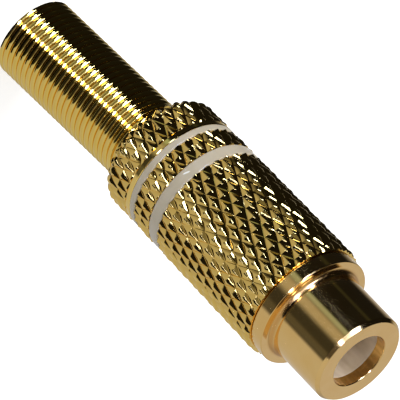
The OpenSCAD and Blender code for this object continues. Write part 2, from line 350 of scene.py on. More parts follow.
shoulder_end = (Z_FRONT - Z_REAR - SHOULDER_RADIUS) + SHOULDER_RADIUS * np.pi / 2
rows = np.concatenate([
    plain_rows([(BORE_RADIUS, Z_FRONT), (CREST_REAR - KNURL_DEPTH, Z_FRONT)]),
    knurled_rows(KNURL_MARGIN, Z_FRONT - Z_GRIP),
    plain_rows([(GROOVE_RADIUS, Z_GRIP), (GROOVE_RADIUS, Z_WIDE)]),
    knurled_rows(Z_FRONT - Z_WIDE, Z_FRONT - Z_RING),
    plain_rows([(GROOVE_RADIUS, Z_RING), (GROOVE_RADIUS, Z_NARROW),
                (LIP_RADIUS - LIP_FRONT_EDGE, Z_NARROW), (LIP_RADIUS, Z_NARROW - LIP_FRONT_EDGE),
                (LIP_RADIUS, Z_LIP + LIP_REAR_EDGE), (LIP_RADIUS - LIP_REAR_EDGE, Z_LIP)]),
    knurled_rows(Z_FRONT - Z_LIP, shoulder_end - KNURL_MARGIN),
    plain_rows([(HOLE_RADIUS + HOLE_EDGE, Z_REAR), (HOLE_RADIUS, Z_REAR + HOLE_EDGE),
                (HOLE_RADIUS, Z_REAR + HOLE_LENGTH),
                (BORE_RADIUS, Z_REAR + HOLE_LENGTH + BORE_RADIUS - HOLE_RADIUS)]),
])[::-1]
print("rows of the shell:", len(rows))

# %% [markdown]
# Each point asks how far it is from the nearest groove of either set. On a groove it sinks to the
# full depth, and halfway between two grooves it stays up. Real knurling is never quite even: one
# set of grooves is a little shallower, the depth drifts, and each tip leans by an amount of its
# own. Sines of the place in the pattern give that unevenness, so it is the same in every run.

# %% Hills between the crossing grooves
SHALLOWER = 0.09
WEAR = 0.05


def groove_distances(around, along):
    """Distance to the nearest groove of each set, from 0 on its line to 1 halfway between two.

    around and along count half diamonds. Half their sum and half their difference, each plus a
    half, count the spaces between the grooves of the two sets: a groove lies on every whole number.
    """
    across = (around + along) / 2.0 + 0.5
    counter = (around - along) / 2.0 + 0.5
    return 2.0 * np.abs([across - np.round(across), counter - np.round(counter)])


def with_shallower_set(distances):
    """The two distances with the second set's grooves made shallower: s + (1 - s) * distance."""
    first_set, second_set = distances
    return np.stack([first_set, SHALLOWER + (1.0 - SHALLOWER) * second_set])


def hill_wobble(around, along):
    """Two numbers from -1 to 1 for each hill: sines of a sum of its place in the two sets."""
    across = np.floor((around + along) / 2.0 + 0.5)
    counter = np.floor((around - along) / 2.0 + 0.5)
    return np.sin(12.9 * across + 78.2 * counter), np.sin(39.3 * across + 11.1 * counter)


def groove_wear(angle, along):
    """Share of the full depth: 1 plus two slow sines round and along the shell."""
    return (1.0 + WEAR * np.sin(5.0 * angle + 0.9 * along)
            + WEAR * np.sin(13.0 * angle - 1.7 * along))


print("a tip's distances from the grooves of the two sets:", groove_distances(0.0, 0.0))

# %% [markdown]
# Now the whole shell comes out of one pass over arrays, with a row of the outline down one side
# and the angle along the other. A hill's height is 0 on a groove and 1 on the tip, and a small
# bulge makes its facets slightly round, as pressed metal is. The lean moves the tips along the
# outline and the wobble moves them round it.

# %% Press the knurl into the shell
HILL_BULGE = 0.30
TIP_WOBBLE = 0.25
KNURL_TURN = -0.45
columns = 2 * KNURL_COUNT * KNURL_STEPS
around = np.arange(columns) / KNURL_STEPS + KNURL_TURN
angle = 2.0 * np.pi * np.arange(columns) / columns
along = rows[:, 2:3] / HALF_DIAMOND + KNURL_SHIFT
hill = with_shallower_set(groove_distances(around[None, :], along)).min(axis=0)
sink = rows[:, 3:4] * (1.0 - hill - HILL_BULGE * (hill - hill ** 4))
sink = sink * groove_wear(angle[None, :], along)
knurled = rows[:, 3:4] > 0.0
lean_wobble, side_wobble = hill_wobble(around[None, :], along)
lean = rows[:, 4:5] * hill * (1.0 + TIP_WOBBLE * lean_wobble)
side = rows[:, 4:5] * hill * TIP_WOBBLE * side_wobble
skin_radius, skin_height, out_r, out_z = shell_outline(rows[:, 2:3] - lean)
radius = np.where(knurled, skin_radius - sink * out_r, rows[:, 0:1])
height = np.where(knurled, skin_height - sink * out_z, rows[:, 1:2])
shown_angle = angle + side / CREST_REAR
shell_points = np.stack([radius * np.cos(shown_angle), radius * np.sin(shown_angle), height],
                        axis=-1)
print("grooves run", round(float(sink.max()), 3), "mm deep at most")

# %% [markdown]
# The grooves run along the diagonals of the grid's cells. A cell that is cut in two along the
# wrong diagonal would turn a straight groove into a row of saw teeth, so each cell is cut along
# the groove that is nearer. Edges of more than 14 degrees are then marked sharp, which keeps each
# facet flat in the reflections. The share of cut at each point is kept for the gold's colour: it
# paints shade into the grooves.

# %% Cut each cell along its groove
FACET_ANGLE = 14.0


def store_values(piece, name, kind, field, values):
    """Keep one value a point in a named attribute, for the piece's material to read."""
    attribute = piece.data.attributes.new(name, kind, "POINT")
    attribute.data.foreach_set(field, np.ascontiguousarray(values, dtype=np.float32).ravel())


cells = grid_faces(len(rows), columns)
row_index = np.repeat(np.arange(len(rows)), columns)
column_index = np.tile(np.arange(columns), len(rows))
middle_along = (along[:, 0] + np.roll(along[:, 0], -1)) / 2.0
first_set, second_set = with_shallower_set(groove_distances(
    around[column_index] + 0.5 / KNURL_STEPS, middle_along[row_index]))
rising = first_set < second_set
near_cut = np.concatenate([cells[rising][:, [0, 1, 2]], cells[rising][:, [0, 2, 3]]])
far_cut = np.concatenate([cells[~rising][:, [0, 1, 3]], cells[~rising][:, [1, 2, 3]]])
shell = add_piece("shell_knurled", shell_points, np.concatenate([near_cut, far_cut]),
                  "shell", "knurled_shell")
shell.data.set_sharp_from_angle(angle=np.radians(FACET_ANGLE))
store_values(shell, "cut", "FLOAT", "value", (1.0 - hill) * knurled)

# %% [markdown]
# ## The colour rings
#
# Two rings of milky plastic sit in grooves of the shell, a little below the knurl. On such sockets
# the rings' colour tells the left channel from the right. They are plain turned rings with
# softened edges.

# %% Colour rings
BAND_SINK = 0.08
BAND_EDGE = 0.12
BAND_FOOT_EDGE = 0.03
for node, low, high in (("wide_colour_band", Z_WIDE, Z_GRIP),
                        ("narrow_colour_band", Z_NARROW, Z_RING)):
    outside = crest_radius(low) - BAND_SINK
    inside = GROOVE_RADIUS + BAND_GAP
    turned_piece(node, [(inside, low + BAND_GAP, BAND_FOOT_EDGE),
                        (outside, low + BAND_GAP, BAND_EDGE),
                        (outside, high - BAND_GAP, BAND_EDGE),
                        (inside, high - BAND_GAP, BAND_FOOT_EDGE)],
                 "shell")

# %% [markdown]
# ## The front body
#
# Nose, flange and threaded shank are turned from one bar. The plug's skirt grips the nose, and
# the shell screws up to the flange. Seen from outside, it is all cylinders, flats and small
# radii, so one closed outline of rounded corners holds it all.

# %% Outline of the front body
body_low, body_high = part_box("front_body")
Z_FACE = body_high.z / MM
FLANGE_GAP = 0.04
Z_FLANGE = Z_FRONT + FLANGE_GAP
FLANGE_THICKNESS = 1.24
Z_NOSE = Z_FLANGE + FLANGE_THICKNESS
SHANK_LENGTH = 6.5
Z_SHANK = Z_FLANGE - SHANK_LENGTH
Z_RIM = body_low.z / MM
RIM_HEIGHT = 0.2
RIM_RADIUS = 3.45
NECK_RADIUS = 3.25
NOSE_RADIUS = 4.15
NOSE_CHAMFER = 0.3
NOSE_FILLET = 0.5
FACE_RADIUS = 3.925
FACE_WALL = 1.0
MOUTH_RADIUS = 2.5
BODY_BORE = 3.0
SHANK_RADIUS = 4.5
SHANK_END_RADIUS = 4.2
FLANGE_SINK = 0.325
FLANGE_RADIUS = CREST_REAR + CREST_GROWTH - FLANGE_SINK
RELIEF_WIDTH = 0.6
RELIEF_DEPTH = 0.35
RELIEF_RADIUS = SHANK_RADIUS - RELIEF_DEPTH
SHANK_CHAMFER = 0.3
Z_THREAD_LOW = Z_SHANK + SHANK_CHAMFER
Z_THREAD_HIGH = Z_FLANGE - RELIEF_WIDTH - RELIEF_DEPTH
BODY_STEPS = 7
thread_end = (SHANK_RADIUS, Z_THREAD_HIGH, 0.05)
body_corners = [
    (BODY_BORE, Z_RIM, 0.03), (NECK_RADIUS, Z_RIM, 0.05),
    (RIM_RADIUS, Z_RIM + RIM_HEIGHT / 2, 0.05), (RIM_RADIUS, Z_RIM + RIM_HEIGHT, 0.02),
    (NECK_RADIUS, Z_RIM + RIM_HEIGHT, 0.02), (NECK_RADIUS, Z_SHANK, 0.04),
    (SHANK_END_RADIUS, Z_SHANK, 0.05), (SHANK_RADIUS, Z_THREAD_LOW, 0.05), thread_end,
    (RELIEF_RADIUS, Z_FLANGE - RELIEF_WIDTH, 0.1), (RELIEF_RADIUS, Z_FLANGE, 0.1),
    (FLANGE_RADIUS, Z_FLANGE, 0.08), (FLANGE_RADIUS, Z_NOSE, 0.08),
    (NOSE_RADIUS, Z_NOSE, NOSE_FILLET), (NOSE_RADIUS, Z_FACE - NOSE_CHAMFER, 0.06),
    (FACE_RADIUS, Z_FACE, 0.06), (MOUTH_RADIUS, Z_FACE, 0.10),
    (MOUTH_RADIUS, Z_FACE - FACE_WALL, 0.03), (BODY_BORE, Z_FACE - FACE_WALL, 0.03),
]
outline, normals = rounded_outline(body_corners, steps=BODY_STEPS)
print("nose", 2 * NOSE_RADIUS, "mm across, from", round(Z_NOSE, 2), "to", round(Z_FACE, 2), "mm")

# %% [markdown]
# The screw thread is hidden until the shell is unscrewed, and it is real geometry as well: the
# radius drops along a helix, by a depth that depends on the height and on the angle.

# %% Depth of the thread
THREAD_PITCH = 0.75
THREAD_DEPTH = 0.32
THREAD_FADE = 0.3
THREAD_FLAT = 0.05


def soft_step(value, low, high):
    """0 below low, 1 above high, and a smooth S between: 3t^2 - 2t^3."""
    t = np.clip((value - low) / (high - low), 0.0, 1.0)
    return t * t * (3.0 - 2.0 * t)


def thread_sink(z, angle):
    """Depth of the thread below the shank's surface.

    The phase is the height over the pitch less the turns round, so it climbs as a right-hand
    thread. A softened triangle wave of the phase makes the flanks, and it fades at both ends.
    """
    phase = z / THREAD_PITCH - angle / (2.0 * np.pi)
    wave = np.abs(2.0 * (phase - np.floor(phase)) - 1.0)
    fade = soft_step(z, Z_THREAD_LOW, Z_THREAD_LOW + THREAD_FADE)
    fade = fade * (1.0 - soft_step(z, Z_THREAD_HIGH - THREAD_FADE, Z_THREAD_HIGH))
    return THREAD_DEPTH * fade * soft_step(wave, THREAD_FLAT, 1.0 - THREAD_FLAT)


print("turns of the thread:", round((Z_THREAD_HIGH - Z_THREAD_LOW) / THREAD_PITCH, 1))

# %% [markdown]
# The straight stretch of the outline along the shank gets extra rows to carry the thread. They lie
# between the last point of one corner's arc and the first point of the next one's.

# %% Extra rows along the shank
ROWS_A_TURN = 12
thread_rows = int(round((Z_THREAD_HIGH - Z_THREAD_LOW) / THREAD_PITCH * ROWS_A_TURN))
thread_at = BODY_STEPS * body_corners.index(thread_end)
low_end = outline[thread_at - 1]
high_end = outline[thread_at]
share_up = np.linspace(0.0, 1.0, thread_rows + 2)[1:-1, None]
outline = np.concatenate([outline[:thread_at], low_end + (high_end - low_end) * share_up,
                          outline[thread_at:]])
normals = np.concatenate([normals[:thread_at], np.tile([1.0, 0.0], (thread_rows, 1)),
                          normals[thread_at:]])
print("rows of the front body:", len(outline))

# %% [markdown]
# Now the outline is turned, and the thread's depth comes off its radius. Each normal tilts with
# the thread's slope, which is the difference of the depth a little above and a little below, over
# the distance between.

# %% Turn the front body and cut its thread
BODY_COLUMNS = 384
SLOPE_STEP = 0.01
body_angle = np.linspace(0.0, 2.0 * np.pi, BODY_COLUMNS, endpoint=False)[None, :]
on_shank = (np.abs(outline[:, :1] - SHANK_RADIUS) < 0.01) & (outline[:, 1:] < Z_THREAD_HIGH + 0.1)
sink = thread_sink(outline[:, 1:], body_angle) * on_shank
rise = (thread_sink(outline[:, 1:] + SLOPE_STEP, body_angle)
        - thread_sink(outline[:, 1:] - SLOPE_STEP, body_angle)) / (2 * SLOPE_STEP) * on_shank
radius = outline[:, :1] - sink
points = np.stack([radius * np.cos(body_angle), radius * np.sin(body_angle),
                   outline[:, 1:] + 0.0 * body_angle], axis=-1)
out_r = normals[:, :1] + 0.0 * body_angle
out_z = normals[:, 1:] + rise
length = np.hypot(out_r, out_z)
directions = np.stack([out_r * np.cos(body_angle), out_r * np.sin(body_angle), out_z], axis=-1)
directions = directions / length[..., None]
front = add_piece("front_body_turned", points, grid_faces(len(outline), BODY_COLUMNS), "front",
                  "front_body", directions)

# %% [markdown]
# The corner between the nose and the flange is hard to reach with a polishing cloth, so the gold
# there is duller. We keep how near each point is to it, and the gold there also gets painted shade,
# a darker and more orange colour further below.

# %% Mark the foot of the nose
FOOT_NEAR = 0.15
FOOT_FAR = 0.5
from_axis = np.hypot(points[..., 0], points[..., 1])
from_foot = np.hypot(points[..., 2] - Z_NOSE, from_axis - NOSE_RADIUS)
store_values(front, "foot", "FLOAT", "value", 1.0 - soft_step(from_foot, FOOT_NEAR, FOOT_FAR))
print("points near the foot of the nose:", int((from_foot < FOOT_FAR).sum()))

# %% [markdown]
# ## The white insulators
#
# Behind the front wall sits a milky white bush. Its short liner is what shows in the mouth, and
# behind the liner it opens out, to leave the contact's fingers room to spread. A second bush
# closes the body's rear, and the solder cup of the contact goes through it.

# %% Insulators
CONTACT_DEPTH = 3.6
CONTACT_LENGTH = 7.0
Z_COLLAR = Z_FACE - CONTACT_DEPTH - CONTACT_LENGTH
LINER_DEPTH = 3.4
ROOM_RADIUS = 2.3
CUP_HOLE_RADIUS = 1.32
INSULATOR_RADIUS = 2.98
SEAT_GAP = 0.02
turned_piece("front_insulator",
             [(INSULATOR_RADIUS, Z_COLLAR + SEAT_GAP, 0.05),
              (INSULATOR_RADIUS, Z_FACE - (FACE_WALL + SEAT_GAP), 0.05),
              (MOUTH_RADIUS, Z_FACE - (FACE_WALL + SEAT_GAP), 0.03),
              (MOUTH_RADIUS, Z_FACE - LINER_DEPTH, 0.1),
              (ROOM_RADIUS, Z_FACE - LINER_DEPTH, 0.05),
              (ROOM_RADIUS, Z_COLLAR + SEAT_GAP, 0.05)],
             "front")
rear_low, rear_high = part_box("rear_insulator")
turned_piece("rear_insulator",
             [(CUP_HOLE_RADIUS, rear_low.z / MM, 0.1), (INSULATOR_RADIUS, rear_low.z / MM, 0.05),
              (INSULATOR_RADIUS, rear_high.z / MM, 0.05), (CUP_HOLE_RADIUS, rear_high.z / MM, 0.1)],
             "front")

# %% [markdown]
# ## The spring
#
# The cable guard is a close-wound spring of round wire, plated like the rest. It is a circle
# carried along a helix. It leans a little to one side, as in the photograph, its last turns
# spread inside the shell, and its foot is ground flat so that it stands.

# %% Path of the wire
WIRE = 0.57
WIRE_GAP = 0.016
PITCH = WIRE + WIRE_GAP
SIDE_STEP = 0.3
SPRING_LEAN = 0.6
COIL_RADIUS = 3.415
FLARE_RADIUS = 4.165
FLARE_HEIGHT = 0.45
Z_FLARE = Z_REAR + HOLE_LENGTH + FLARE_HEIGHT + WIRE / 4
Z_SPREAD = Z_FLARE - PITCH
TURNS_IN_SHELL = 1.5
Z_SPRING_TOP = Z_FLARE + TURNS_IN_SHELL * PITCH
FOOT_GROUND = 0.12


def lean_at(z):
    """How far the coil's middle sits towards -X.

    Below the shell it is the side step plus the lean's share of the way down to the foot. Above
    that, the side step fades out up to the opened turns.
    """
    below = SIDE_STEP + SPRING_LEAN * (1.0 - z / Z_REAR)
    above = SIDE_STEP * np.clip(1.0 - (z - Z_REAR) / (Z_FLARE - Z_REAR), 0.0, 1.0)
    return np.where(z < Z_REAR, below, above)


def coil_at(z):
    """Radius of the wire's middle: from the coil's to the flare's within one turn of height."""
    return COIL_RADIUS + (FLARE_RADIUS - COIL_RADIUS) * np.clip(
        (z - Z_SPREAD) / (Z_FLARE - Z_SPREAD), 0.0, 1.0)


print("turns of the spring:", round((Z_SPRING_TOP + FOOT_GROUND) / PITCH, 1))

# %% [markdown]
# The wire is one open tube: rows along the helix, columns round the wire. Each end gets a fan of
# triangles round a middle point, so that the spring is closed too. Whatever would lie below the
# floor is lifted to it, which is how the ground foot gets its flat.

# %% Wind the spring
STEPS_ROUND = 96
WIRE_SIDES = 16
CUT_ANGLE = 50.0
steps = int(round((Z_SPRING_TOP + FOOT_GROUND) / PITCH * STEPS_ROUND))
turn = 2.0 * np.pi * np.arange(steps + 1)[:, None] / STEPS_ROUND
wire_height = PITCH * turn / (2.0 * np.pi) - FOOT_GROUND
section = 2.0 * np.pi * np.arange(WIRE_SIDES)[None, :] / WIRE_SIDES
ring_radius = coil_at(wire_height) + WIRE / 2 * np.cos(section)
spring_points = np.stack([
    ring_radius * np.cos(turn) - lean_at(wire_height),
    ring_radius * np.sin(turn),
    np.maximum(0.0, wire_height + WIRE / 2 * np.sin(section)),
], axis=-1)
sides = grid_faces(steps + 1, WIRE_SIDES, wrap_rows=False)[:, ::-1]
end_points = spring_points[[0, -1]].mean(axis=1)
first = np.arange(WIRE_SIDES)
following = (first + 1) % WIRE_SIDES
near_end = (steps + 1) * WIRE_SIDES
start_cap = np.stack([np.full(WIRE_SIDES, near_end), following, first], axis=1)
final_row = steps * WIRE_SIDES
end_cap = np.stack([np.full(WIRE_SIDES, near_end + 1), final_row + first,
                    final_row + following], axis=1)
spring_all = np.concatenate([spring_points.reshape(-1, 3), end_points])
spring_faces = [*sides.tolist(), *start_cap.tolist(), *end_cap.tolist()]
spring = add_piece("spring_wound", spring_all, spring_faces, "cable_guard", "spring")
spring.data.set_sharp_from_angle(angle=np.radians(CUT_ANGLE))

# %% [markdown]
# ## The studio
#
# Polished metal is drawn by what it mirrors. One side of the gold shines evenly, the other side is
# nearly black, and between them stand two narrow bright strips, as if the socket had been lying on
# a white table in a dark room with two lamps. A big dome round the object plays that room. Only
# glossy rays see it, so it throws no shadow, and plastic and floor keep their plain soft light.
#
# Each patch on the dome has a middle azimuth, a half width and a level, which may all change with
# the elevation, and a soft edge. Azimuth 0 is the camera's side, and +90 is towards +X. The lamps
# are a little blue, because gold turns white light yellow and their strips are nearly white. A
# dim rail between the lamps joins their strips in the narrow chamfer of the nose.

# %% What hangs in the dark room
PATCHES = [
    # (name, elevations, middle azimuths, half widths, levels, soft edge, colour)
    ("dark room", [0], [0], [360], [0.010], 5, (1.0, 0.95, 0.85)),
    ("pale ceiling", [60, 75], [100, 100], [45, 60], [0.0, 0.6], 20, (1.0, 1.0, 1.0)),
    ("table", [-60, -45, -30, 0, 60, 75], [-128, -123, -120, -117, -117, -117],
     [56, 60, 63, 66, 66, 66], [0.50, 0.53, 0.53, 0.53, 0.60, 0.60], 8, (1.0, 1.0, 1.0)),
    ("table's far part", [0], [-165], [25], [0.38], 30, (1.0, 0.98, 0.95)),
    ("rose gap", [-15, 0, 15, 30, 45, 60], [-30, -30, -32, -32, -32, -34],
     [24, 24, 20, 18, 18, 12], [0.006, 0.01, 0.02, 0.05, 0.08, 0.30], 5, (1.05, 0.95, 1.0)),
    ("olive gap", [-15, 0, 8, 15, 30], [15, 15, 15, 6, 6],
     [11, 11, 11, 20, 20], [0.10, 0.20, 0.22, 0.25, 0.28], 5, (1.0, 0.98, 0.85)),
    ("small lamp", [-15, 0, 9, 16, 30, 60, 75], [-1, -1, -1, -1, -1, -1, -1],
     [0.8, 0.8, 0.8, 5.0, 5.5, 6, 6], [7.0, 7.0, 7.0, 14.0, 14.0, 8.0, 1.0], 2, (0.9, 1.0, 1.7)),
    ("window", [-44, -38, -30, -15, 0, 15, 30, 36, 42, 48, 54, 75],
     [38, 38, 37, 37, 37, 32, 33, 40, 46, 46, 36, 42],
     [4, 4, 4, 2.5, 2.5, 4.5, 5, 10, 14, 12, 6, 7],
     [0.0, 6.0, 7.0, 10.0, 12.0, 14.0, 14.0, 12.0, 12.0, 8.0, 4.0, 0.0], 3, (0.8, 1.0, 1.8)),
    ("lamps' rail", [39, 41, 45, 47], [16, 16, 16, 16],
     [22, 22, 22, 22], [0.0, 3.0, 3.0, 0.0], 6, (0.9, 1.0, 1.5)),
    ("pale wall", [-40, -30, 0, 10], [166, 166, 166, 166],
     [22, 26, 26, 20], [0.0, 0.45, 0.50, 0.35], 24, (1.0, 1.0, 0.95)),
    ("sheet behind", [8, 18, 45, 60], [180, 180, 180, 180],
     [22, 26, 26, 22], [0.0, 0.56, 0.56, 0.0], 16, (1.0, 1.0, 1.10)),
    ("light under the foot", [-44, -40], [-54, -54], [86, 86], [0.50, 0.0], 40, (1.0, 1.0, 1.0)),
]
print("patches in the room:", ", ".join(patch[0] for patch in PATCHES))

# %% [markdown]
# The patches are painted one over the other, as strips of paper are hung in front of each other.
# Numbers between the listed elevations are read off straight lines.

# %% Paint the patches
def room_colours(azimuth, elevation, patches):
    """The room's colours: each patch lies over those before it.

    A patch covers a point by 1 less an S-shaped step of its distance in azimuth from the middle.
    Where a level falls to nothing, the patch fades out and what it lies on shows again.
    """
    colours = np.zeros(np.broadcast(azimuth, elevation).shape + (3,))
    for _, heights, middles, half_widths, levels, soft, colour in patches:
        middle = np.interp(elevation, heights, middles)
        half_width = np.interp(elevation, heights, half_widths)
        level = np.interp(elevation, heights, levels)
        off = np.abs((azimuth - middle + 180.0) % 360.0 - 180.0)
        covered = 1.0 - soft_step(off, half_width - soft / 2, half_width + soft / 2)
        strongest = max(levels)
        fade = np.ones_like(level) if min(levels) > 0.0 else np.clip(level / strongest, 0.0, 1.0)
        shown = np.where(np.asarray(min(levels) > 0.0), level, strongest)
        covered = (covered * fade)[..., None]
        colours = colours * (1.0 - covered) + shown[..., None] * np.array(colour) * covered
    return colours


window_colour = room_colours(np.array(37.0), np.array(0.0), PATCHES)
print("colour at the window's middle:", np.round(window_colour, 1).tolist())

# %% [markdown]
# Seen from this far away, the straight cylinders of the nose and the flange mirror the dome at one
# elevation only. That one ring of the room is worked out with more care than the rest, and it
# blends into the other patches above and below.

# %% The ring that the straight cylinders mirror
RING = [
    ("table", [-30], [-120], [63], [0.54], 12, (1.0, 1.0, 1.0)),
    ("gap", [-30], [-15], [42], [0.045], 12, (1.0, 1.0, 0.9)),
    ("near gap", [-30], [-46], [8], [0.10], 8, (1.0, 1.0, 0.9)),
    ("satin floor", [-30], [3], [12], [0.43], 16, (1.0, 0.98, 0.9)),
    ("window's foot", [-30], [21], [5], [0.46], 6, (0.80, 1.0, 0.95)),
    ("black side", [-30], [86], [58], [0.012], 8, (1.0, 1.0, 1.0)),
    ("far streak", [-30], [83], [4], [0.035], 5, (0.9, 1.0, 0.7)),
    ("pale wall", [-30], [182], [34], [0.57], 38, (1.0, 1.0, 1.0)),
]
RING_MIDDLE = -30.0
RING_HALF_WIDTH = 9.0
RING_SOFT = 1.5
DOME_COLUMNS = 480
DOME_ROWS = 240
DOME_TOP = 89.9
azimuth = np.linspace(-180.0, 180.0, DOME_COLUMNS, endpoint=False)[None, :]
elevation = np.linspace(-DOME_TOP, DOME_TOP, DOME_ROWS)[:, None]
dome_colour = room_colours(azimuth, elevation, PATCHES)
ring_share = 1.0 - soft_step(np.abs(elevation - RING_MIDDLE), RING_HALF_WIDTH - RING_SOFT,
                             RING_HALF_WIDTH + RING_SOFT)[..., None]
dome_colour = (dome_colour * (1.0 - ring_share)
               + room_colours(azimuth, 0.0 * elevation + RING_MIDDLE, RING) * ring_share)
print("brightest point of the room:", round(float(dome_colour.max()), 1))

# %% [markdown]
# The dome is a sphere round the object. Its colours are kept at its points, and its glow reads
# them from there. It belongs to the stage and not to the socket.

# %% The dome
DOME_RADIUS = 500.0
DOME_MIDDLE = np.array([0.0, 0.0, 21.0])


def stage_object(name, points, faces):
    """An object of the studio, from points in millimetres."""
    mesh = bpy.data.meshes.new(name)
    mesh.from_pydata(points.reshape(-1, 3) * MM, [], faces)
    made = bpy.data.objects.new(name, mesh)
    bpy.context.scene.collection.objects.link(made)
    return made


def show_in_mirrors_only(made):
    """Hide an object from all rays but the glossy ones."""
    made.visible_camera = False
    made.visible_diffuse = False
    made.visible_transmission = False
    made.visible_volume_scatter = False
    made.visible_shadow = False


flat = np.cos(np.radians(elevation))
dome_points = DOME_RADIUS * np.stack([
    flat * np.sin(np.radians(azimuth)), flat * np.cos(np.radians(azimuth)),
    np.sin(np.radians(elevation)) + 0.0 * azimuth], axis=-1) + DOME_MIDDLE
dome = stage_object("studio_dome", dome_points,
                    grid_faces(DOME_ROWS, DOME_COLUMNS, wrap_rows=False))
dome.data.shade_smooth()
dome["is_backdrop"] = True
show_in_mirrors_only(dome)
dome_rgba = np.concatenate([dome_colour, np.ones((DOME_ROWS, DOME_COLUMNS, 1))], axis=-1)
store_values(dome, "studio", "FLOAT_COLOR", "color", dome_rgba)
print("dome of", len(dome.data.polygons), "faces")

# %% [markdown]
# A small black card lies under the spring's foot, just below the floor, which glossy rays don't
# see. It is painted shade: a dark sheet that the wires mirror in place of the shaded table round
# the foot, and it keeps the low light out of the grooves between the wires.

# %% The black card
CARD_POINTS = 14
CARD_FROM = -62.0
CARD_TO = -10.0
CARD_RADII = (2.0, 16.0)
CARD_DEPTH = 1.0


def open_grid_faces(rows, columns):
    """Faces of a grid that closes on itself in neither way, with the same numbering of points."""
    row, column = np.meshgrid(np.arange(rows - 1), np.arange(columns - 1), indexing="ij")
    first = (row * columns + column).ravel()
    return np.stack([first, first + 1, first + columns + 1, first + columns], axis=1)


card_azimuth = np.radians(np.linspace(CARD_FROM, CARD_TO, CARD_POINTS))[None, :]
card_radius = np.array(CARD_RADII)[:, None]
card_points = np.stack([card_radius * np.sin(card_azimuth), card_radius * np.cos(card_azimuth),
                        0.0 * card_radius * card_azimuth - CARD_DEPTH], axis=-1)
# painted shade: a black sheet seen only in mirrors, for the shade round the spring's foot
card = stage_object("black_card", card_points, open_grid_faces(2, CARD_POINTS)[:, ::-1])
card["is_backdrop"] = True
show_in_mirrors_only(card)
print("card of", len(card.data.polygons), "faces")

# %% [markdown]
# ## Node helpers
#
# Each finish starts from Blender's Principled shader, with its constant numbers on its own
# sockets, and adds the marks that the real surface carries. Three small helpers keep that short.

# %% Node helpers
def new_finish(name, **sockets):
    """A material with a Principled shader whose constant sockets are set here."""
    material = bpy.data.materials.new(name)
    material.use_nodes = True
    shader = material.node_tree.nodes["Principled BSDF"]
    for socket, value in sockets.items():
        shader.inputs[socket.replace("_", " ")].default_value = value
    return material, material.node_tree, shader


def add_node(tree, kind, inputs=None, **settings):
    """Add a node, set its options, and fill its inputs with numbers or link them."""
    node = tree.nodes.new(kind)
    for setting, value in settings.items():
        setattr(node, setting, value)
    for socket, value in (inputs or {}).items():
        if isinstance(value, bpy.types.NodeSocket):
            tree.links.new(value, node.inputs[socket])
        else:
            node.inputs[socket].default_value = value
    return node


def give(piece, material):
    """Put one material on a whole piece."""
    piece.data.materials.clear()
    piece.data.materials.append(material)
    print(piece.name, "has the finish", material.name)


# %% [markdown]
# The dome's finish is a plain glow in the colours at its points. Cycles isn't asked to aim rays
# at it, because it lights nothing and is only found by mirrored rays.

# %% The dome's glow
glow, tree, shader = new_finish("studio_glow")
tree.nodes.remove(shader)
studio = add_node(tree, "ShaderNodeAttribute", attribute_name="studio")
emission = add_node(tree, "ShaderNodeEmission", {"Color": studio.outputs["Color"]})
tree.links.new(emission.outputs[0], tree.nodes["Material Output"].inputs["Surface"])
glow.cycles.emission_sampling = "NONE"
give(dome, glow)

# %% [markdown]
# ## Turned and plated gold
#
# A turned surface keeps very fine rings from the tool, and the plating follows them. The rings
# come from noise that is read at (radius, height) and hardly changes round the axis, so the same
# finish works on a cylinder and on a flat face.
#
# Patterns read Object coordinates, so they stay where they are on a piece when it moves.

# %% Places, colours and ranges
def object_millimetres(tree):
    """Object coordinates in millimetres."""
    coordinates = add_node(tree, "ShaderNodeTexCoord")
    mapping = add_node(tree, "ShaderNodeMapping", {"Vector": coordinates.outputs["Object"]})
    mapping.inputs["Scale"].default_value = (1.0 / MM, 1.0 / MM, 1.0 / MM)
    return mapping.outputs["Vector"]


def ramp(tree, value, stops):
    """A colour ramp with the given (place, colour) stops."""
    node = add_node(tree, "ShaderNodeValToRGB", {"Fac": value})
    elements = node.color_ramp.elements
    for index, (place, colour) in enumerate(stops):
        element = elements[index] if index < 2 else elements.new(place)
        element.position = place
        element.color = (*colour, 1.0)
    return node.outputs["Color"]


def between(tree, value, low, high):
    """Map a 0 to 1 value onto low to high."""
    node = add_node(tree, "ShaderNodeMapRange", {"Value": value, "To Min": low, "To Max": high})
    return node.outputs["Result"]


def plug_in(tree, shader, colour, roughness=None, normal=None):
    """Link worked-out values to the shader's sockets of the same names."""
    worked_out = {"Base Color": colour, "Roughness": roughness, "Normal": normal}
    for socket, value in worked_out.items():
        if value is not None:
            tree.links.new(value, shader.inputs[socket])


# %% [markdown]
# Three kinds of marks are enough for all the finishes: the tool's rings, soft clouds, and a bump
# that tilts the surface by the slope of either.

# %% Marks on metal
RING_DRIFT = 0.02


def turned_marks(tree, rings_per_mm):
    """Noise that runs in rings round the Z axis, with a slow drift as the tool wears."""
    place = object_millimetres(tree)
    flat = add_node(tree, "ShaderNodeVectorMath", {0: place, 1: (1.0, 1.0, 0.0)},
                    operation="MULTIPLY")
    radius = add_node(tree, "ShaderNodeVectorMath", {0: flat.outputs[0]}, operation="LENGTH")
    parts = add_node(tree, "ShaderNodeSeparateXYZ", {"Vector": place})
    ringed = add_node(tree, "ShaderNodeCombineXYZ",
                      {"X": radius.outputs["Value"], "Z": parts.outputs["Z"]})
    drift = add_node(tree, "ShaderNodeVectorMath", {0: flat.outputs[0], "Scale": RING_DRIFT},
                     operation="SCALE")
    where = add_node(tree, "ShaderNodeVectorMath", {0: ringed.outputs[0], 1: drift.outputs[0]},
                     operation="ADD")
    noise = add_node(tree, "ShaderNodeTexNoise",
                     {"Vector": where.outputs[0], "Scale": rings_per_mm, "Detail": 3.0})
    return noise.outputs["Fac"]


def clouds(tree, per_mm):
    """Plain noise over the surface, in Object coordinates."""
    noise = add_node(tree, "ShaderNodeTexNoise",
                     {"Vector": object_millimetres(tree), "Scale": per_mm, "Detail": 3.0})
    return noise.outputs["Fac"]


